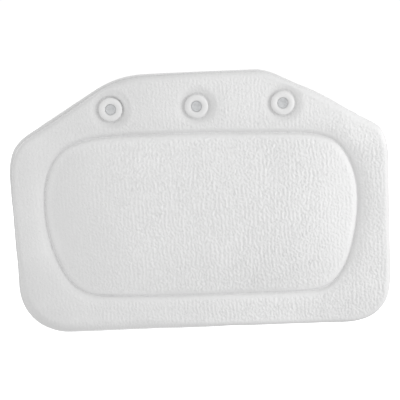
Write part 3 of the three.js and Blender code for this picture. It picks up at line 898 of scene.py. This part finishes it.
class Nodes:
    """A node material around one Principled shader, textured in the object's own space (metres)."""

    def __init__(self, name, **sockets):
        self.mat = bpy.data.materials.new(name)
        self.mat.use_nodes = True
        self.tree = self.mat.node_tree
        self.tree.nodes.clear()
        self.bsdf = self.add("ShaderNodeBsdfPrincipled")
        out = self.add("ShaderNodeOutputMaterial")
        self.link(self.bsdf.outputs["BSDF"], out.inputs["Surface"])
        self.space = self.add("ShaderNodeTexCoord").outputs["Object"]
        for key, value in sockets.items():
            self.bsdf.inputs[key.replace("_", " ")].default_value = value

    def add(self, kind, **props):
        node = self.tree.nodes.new(kind)
        for key, value in props.items():
            setattr(node, key, value)
        return node

    def link(self, a, b):
        self.tree.links.new(a, b)

    def noise(self, scale, detail=3.0, roughness=0.5, distortion=0.0):
        n = self.add("ShaderNodeTexNoise")
        self.link(self.space, n.inputs["Vector"])
        n.inputs["Scale"].default_value = scale
        n.inputs["Detail"].default_value = detail
        n.inputs["Roughness"].default_value = roughness
        n.inputs["Distortion"].default_value = distortion
        return n.outputs["Fac"]

    def cells(self, scale, feature="F1"):
        n = self.add("ShaderNodeTexVoronoi", feature=feature)
        self.link(self.space, n.inputs["Vector"])
        n.inputs["Scale"].default_value = scale
        return n.outputs["Distance"]

    def attribute(self, name):
        return self.add("ShaderNodeAttribute", attribute_name=name).outputs["Fac"]

    def ramp(self, source, stops):
        n = self.add("ShaderNodeValToRGB")
        self.link(source, n.inputs["Fac"])
        e = n.color_ramp.elements
        while len(e) < len(stops):
            e.new(0.5)
        for k, (at, colour) in enumerate(stops):
            e[k].position = at
            e[k].color = (*colour, 1) if len(colour) == 3 else colour
        return n.outputs["Color"]

    def span(self, source, lo, hi, to_lo, to_hi):
        n = self.add("ShaderNodeMapRange")
        self.link(source, n.inputs["Value"])
        for key, value in zip(("From Min", "From Max", "To Min", "To Max"), (lo, hi, to_lo, to_hi)):
            n.inputs[key].default_value = value
        return n.outputs["Result"]

    def math(self, operation, a, b):
        n = self.add("ShaderNodeMath", operation=operation)
        for k, v in enumerate((a, b)):
            if isinstance(v, (int, float)):
                n.inputs[k].default_value = v
            else:
                self.link(v, n.inputs[k])
        return n.outputs["Value"]

    def multiply(self, a, b):
        n = self.add("ShaderNodeMix", data_type="RGBA", blend_type="MULTIPLY")
        n.inputs["Factor"].default_value = 1.0
        self.link(a, n.inputs[6])
        self.link(b, n.inputs[7])
        return n.outputs[2]

    def bump(self, height, distance, strength=1.0, below=None):
        n = self.add("ShaderNodeBump")
        self.link(height, n.inputs["Height"])
        n.inputs["Distance"].default_value = distance
        n.inputs["Strength"].default_value = strength
        if below is not None:
            self.link(below, n.inputs["Normal"])
        return n.outputs["Normal"]

    def to(self, source, socket):
        self.link(source, self.bsdf.inputs[socket])


def grey(v, tint=(1.0, 1.0, 1.0)):
    return tuple(v * t for t in tint)


def front_sheet_material():
    m = Nodes("front_sheet_vinyl", IOR=1.5, Metallic=0.0)
    clouding = m.ramp(m.noise(14, 3, 0.55), [(0.30, grey(0.790)), (0.70, grey(0.831))])
    # painted shade: the valleys of the grain are made a little darker
    valley = m.ramp(m.attribute("grain"), [(0.15, grey(1.0)), (0.95, grey(0.985))])
    fine_grain = m.ramp(m.noise(2600, 2, 0.6), [(0.30, grey(0.985)), (0.70, grey(1.0))])
    # painted shade: the weld attribute darkens the base colour by up to 16 percent
    shade_paint = m.ramp(m.span(m.attribute("weld"), 0, 2, 0, 1), [(0.0, grey(1.0)), (1.0, grey(0.84))])
    m.to(m.multiply(m.multiply(clouding, valley), m.multiply(fine_grain, shade_paint)), "Base Color")
    rough = m.math("ADD", m.span(m.noise(900, 3, 0.6), 0.3, 0.7, 0.46, 0.56), m.span(m.attribute("grain"), 0, 1, -0.02, 0.08))
    m.to(rough, "Roughness")
    creases = m.bump(m.noise(540, 2, 0.5, 0.4), 0.0006, 0.9)
    coarse = m.bump(m.noise(1300, 3, 0.55, 0.3), 0.00014, 0.6, creases)
    m.to(m.bump(m.noise(5200, 2, 0.6), 0.00003, 0.6, coarse), "Normal")
    return m.mat


def back_sheet_material():
    m = Nodes("back_sheet_vinyl", IOR=1.5, Metallic=0.0)
    clouding = m.ramp(m.noise(11, 3, 0.55), [(0.30, grey(0.675)), (0.70, grey(0.735))])
    pebbles = m.cells(820)
    # painted shade: the creases between the pebbles are a little darker
    leather = m.ramp(pebbles, [(0.15, grey(1.0)), (0.75, grey(0.95))])
    m.to(m.multiply(clouding, leather), "Base Color")
    m.to(m.span(m.noise(700, 3, 0.6), 0.3, 0.7, 0.54, 0.66), "Roughness")
    coarse = m.bump(pebbles, -0.00022, 0.7)
    m.to(m.bump(m.noise(3800, 2, 0.6), 0.00004, 0.6, coarse), "Normal")
    return m.mat


def foam_material():
    m = Nodes("cushion_foam", IOR=1.4, Metallic=0.0)
    pores = m.cells(1300)
    large = m.cells(430)
    tone = m.ramp(m.noise(40, 3, 0.6), [(0.3, (0.80, 0.785, 0.72)), (0.7, (0.86, 0.85, 0.79))])
    # painted shade: the pores and the larger craters are darker inside
    holes = m.ramp(pores, [(0.10, grey(0.72)), (0.45, grey(1.0))])
    craters = m.ramp(large, [(0.05, grey(0.80)), (0.22, grey(1.0))])
    m.to(m.multiply(m.multiply(tone, holes), craters), "Base Color")
    m.to(m.span(pores, 0.0, 0.6, 0.98, 0.86), "Roughness")
    m.to(m.bump(large, 0.0004, 0.6, m.bump(pores, 0.0003, 0.8)), "Normal")
    return m.mat


def cup_material():
    m = Nodes("clear_cup_vinyl", IOR=1.52, Metallic=0.0)
    depth = m.add("ShaderNodeSeparateXYZ")
    m.link(m.space, depth.inputs[0])
    # the thin skirt is clear and light grey, the solid stem cloudy and a darker grey towards its tip
    m.to(m.span(depth.outputs["Y"], -0.019, -0.009, 0.12, 0.80), "Transmission Weight")
    tip_to_skirt = m.span(depth.outputs["Y"], -0.019, -0.009, 0.0, 1.0)
    tone = m.ramp(tip_to_skirt, [(0.0, (0.585, 0.595, 0.605)), (1.0, (0.89, 0.905, 0.915))])
    cloud = m.ramp(m.noise(120, 3, 0.5), [(0.3, grey(0.92)), (0.7, grey(1.0))])
    mottle = m.ramp(m.noise(560, 2, 0.6), [(0.36, grey(0.87)), (0.62, grey(1.0))])
    m.to(m.multiply(m.multiply(tone, cloud), mottle), "Base Color")
    m.to(m.span(m.noise(480, 3, 0.6), 0.3, 0.7, 0.10, 0.22), "Roughness")
    m.to(m.bump(m.noise(700, 3, 0.5), 0.00005, 0.5), "Normal")
    return m.mat


def button_material():
    m = Nodes("button_vinyl", IOR=1.52, Metallic=0.0)
    m.to(m.ramp(m.noise(90, 3, 0.5), [(0.3, grey(0.705)), (0.7, grey(0.755))]), "Base Color")
    m.to(m.span(m.noise(600, 3, 0.6), 0.3, 0.7, 0.34, 0.46), "Roughness")
    m.to(m.bump(m.noise(420, 3, 0.5), 0.00006, 0.5), "Normal")
    return m.mat


# ---------------------------------------------------------------- the ten pieces


def place(ob, body, node, material):
    ob.data.materials.append(material)
    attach(ob, body)
    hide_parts(node)
    return ob


foam = foam_material()
place(make_front(), "panel", "front_cover", front_sheet_material())
place(make_back(), "panel", "back_cover", back_sheet_material())
place(make_base_sheet(), "panel", "base_foam", foam)
place(make_pad_core(), "panel", "pad_foam", foam)
cup_vinyl, button_vinyl = cup_material(), button_material()
for side, x in CUP_X.items():
    place(make_cup(side, x), f"cup_{side}", f"suction_cup_{side}", cup_vinyl)
    place(make_button(side, x), f"button_{side}", f"retaining_button_{side}", button_vinyl)

# ---------------------------------------------------------------- camera


def make_camera():
    yaw, pitch, roll_, shift, away = math.radians(1.38), math.radians(8.0), math.radians(2.31), (1.1, -0.7), 845.5
    ry = np.array([[math.cos(yaw), 0, -math.sin(yaw)], [0, 1, 0], [math.sin(yaw), 0, math.cos(yaw)]])
    rx = np.array([[1, 0, 0], [0, math.cos(pitch), -math.sin(pitch)], [0, math.sin(pitch), math.cos(pitch)]])
    rz = np.array([[math.cos(roll_), -math.sin(roll_), 0], [math.sin(roll_), math.cos(roll_), 0], [0, 0, 1]])
    turn = rz @ rx @ ry
    eye = turn.T @ np.array([-shift[0], -shift[1], away]) + np.array([0, 110, 0])
    # x right, y up from the lower edge, z towards the viewer -> the part's frame
    swap = np.array([[1, 0, 0], [0, 0, -1], [0, 1, 0]])
    place_ = (swap @ eye + np.array([0.8, -15.1, -190])) * 0.001
    axes = swap @ turn.T
    data = bpy.data.cameras.new("camera")
    data.lens, data.sensor_width = 90.0, 36.0
    data.clip_start, data.clip_end = 0.05, 50
    cam = bpy.data.objects.new("camera", data)
    m = Matrix.Identity(4)
    for i in range(3):
        for j in range(3):
            m[i][j] = float(axes[i, j])
        m[i][3] = float(place_[i])
    cam.matrix_world = m
    bpy.context.scene.collection.objects.link(cam)
    bpy.context.scene.camera = cam


make_camera()

# ---------------------------------------------------------------- floor and light


def make_floor():
    me = bpy.data.meshes.new("floor")
    s, z = 3.0, -0.1908
    me.from_pydata([(-s, -s, z), (s, -s, z), (s, s, z), (-s, s, z)], [], [(0, 1, 2, 3)])
    ob = bpy.data.objects.new("floor", me)
    bpy.context.scene.collection.objects.link(ob)
    m = Nodes("pale_floor", Metallic=0.0)
    m.to(m.ramp(m.noise(2.0, 2, 0.5), [(0.3, grey(0.90)), (0.7, grey(0.94))]), "Base Color")
    m.bsdf.inputs["Roughness"].default_value = 0.9
    m.bsdf.inputs["Emission Color"].default_value = (1, 1, 1, 1)
    m.bsdf.inputs["Emission Strength"].default_value = 0.75
    ob.data.materials.append(m.mat)
    ob.visible_diffuse = False
    ob.visible_glossy = False


def area(name, at, target, size, power):
    data = bpy.data.lights.new(name, "AREA")
    data.shape = "RECTANGLE"
    data.size, data.size_y = size
    data.energy = power
    ob = bpy.data.objects.new(name, data)
    bpy.context.scene.collection.objects.link(ob)
    ob.location = at
    ob.rotation_euler = (Vector(target) - Vector(at)).to_track_quat("-Z", "Y").to_euler()


def make_world(stops):
    """White for the camera; for everything else a light tent whose level goes with height, from straight down to
    straight up."""
    world = bpy.data.worlds.new("studio")
    bpy.context.scene.world = world
    world.use_nodes = True
    t = world.node_tree
    t.nodes.clear()
    out = t.nodes.new("ShaderNodeOutputWorld")
    mix = t.nodes.new("ShaderNodeMixShader")
    seen = t.nodes.new("ShaderNodeLightPath")
    tent = t.nodes.new("ShaderNodeBackground")
    white = t.nodes.new("ShaderNodeBackground")
    where = t.nodes.new("ShaderNodeTexCoord")
    parts = t.nodes.new("ShaderNodeSeparateXYZ")
    height = t.nodes.new("ShaderNodeMapRange")
    level = t.nodes.new("ShaderNodeValToRGB")
    for key, value in zip(("From Min", "From Max", "To Min", "To Max"), (-1, 1, 0, 1)):
        height.inputs[key].default_value = value
    e = level.color_ramp.elements
    level.color_ramp.interpolation = "EASE"
    while len(e) < len(stops):
        e.new(0.5)
    for k, (z, v) in enumerate(stops):
        e[k].position = (z + 1) / 2
        e[k].color = (v, v, v, 1)
    t.links.new(where.outputs["Generated"], parts.inputs[0])
    t.links.new(parts.outputs["Z"], height.inputs["Value"])
    t.links.new(height.outputs["Result"], level.inputs["Fac"])
    t.links.new(level.outputs["Color"], tent.inputs["Color"])
    white.inputs["Color"].default_value = (1, 1, 1, 1)
    white.inputs["Strength"].default_value = 1.05
    t.links.new(seen.outputs["Is Camera Ray"], mix.inputs["Fac"])
    t.links.new(tent.outputs[0], mix.inputs[1])
    t.links.new(white.outputs[0], mix.inputs[2])
    t.links.new(mix.outputs[0], out.inputs["Surface"])


make_floor()
make_world([(-1.0, 0.735), (-0.35, 0.96), (0.2, 1.058), (0.6, 0.975), (1.0, 0.725)])
AIM = (0.0, -0.02, -0.085)
area("key_right", (0.76, -0.31, 0.01), AIM, (0.26, 0.38), 1.95)
area("back_left", (-0.66, 0.75, 0.36), AIM, (0.35, 0.35), 3.0)
scene = bpy.context.scene
scene.view_settings.view_transform = "Standard"
scene.view_settings.look = "None"
scene.view_settings.exposure = 0.0
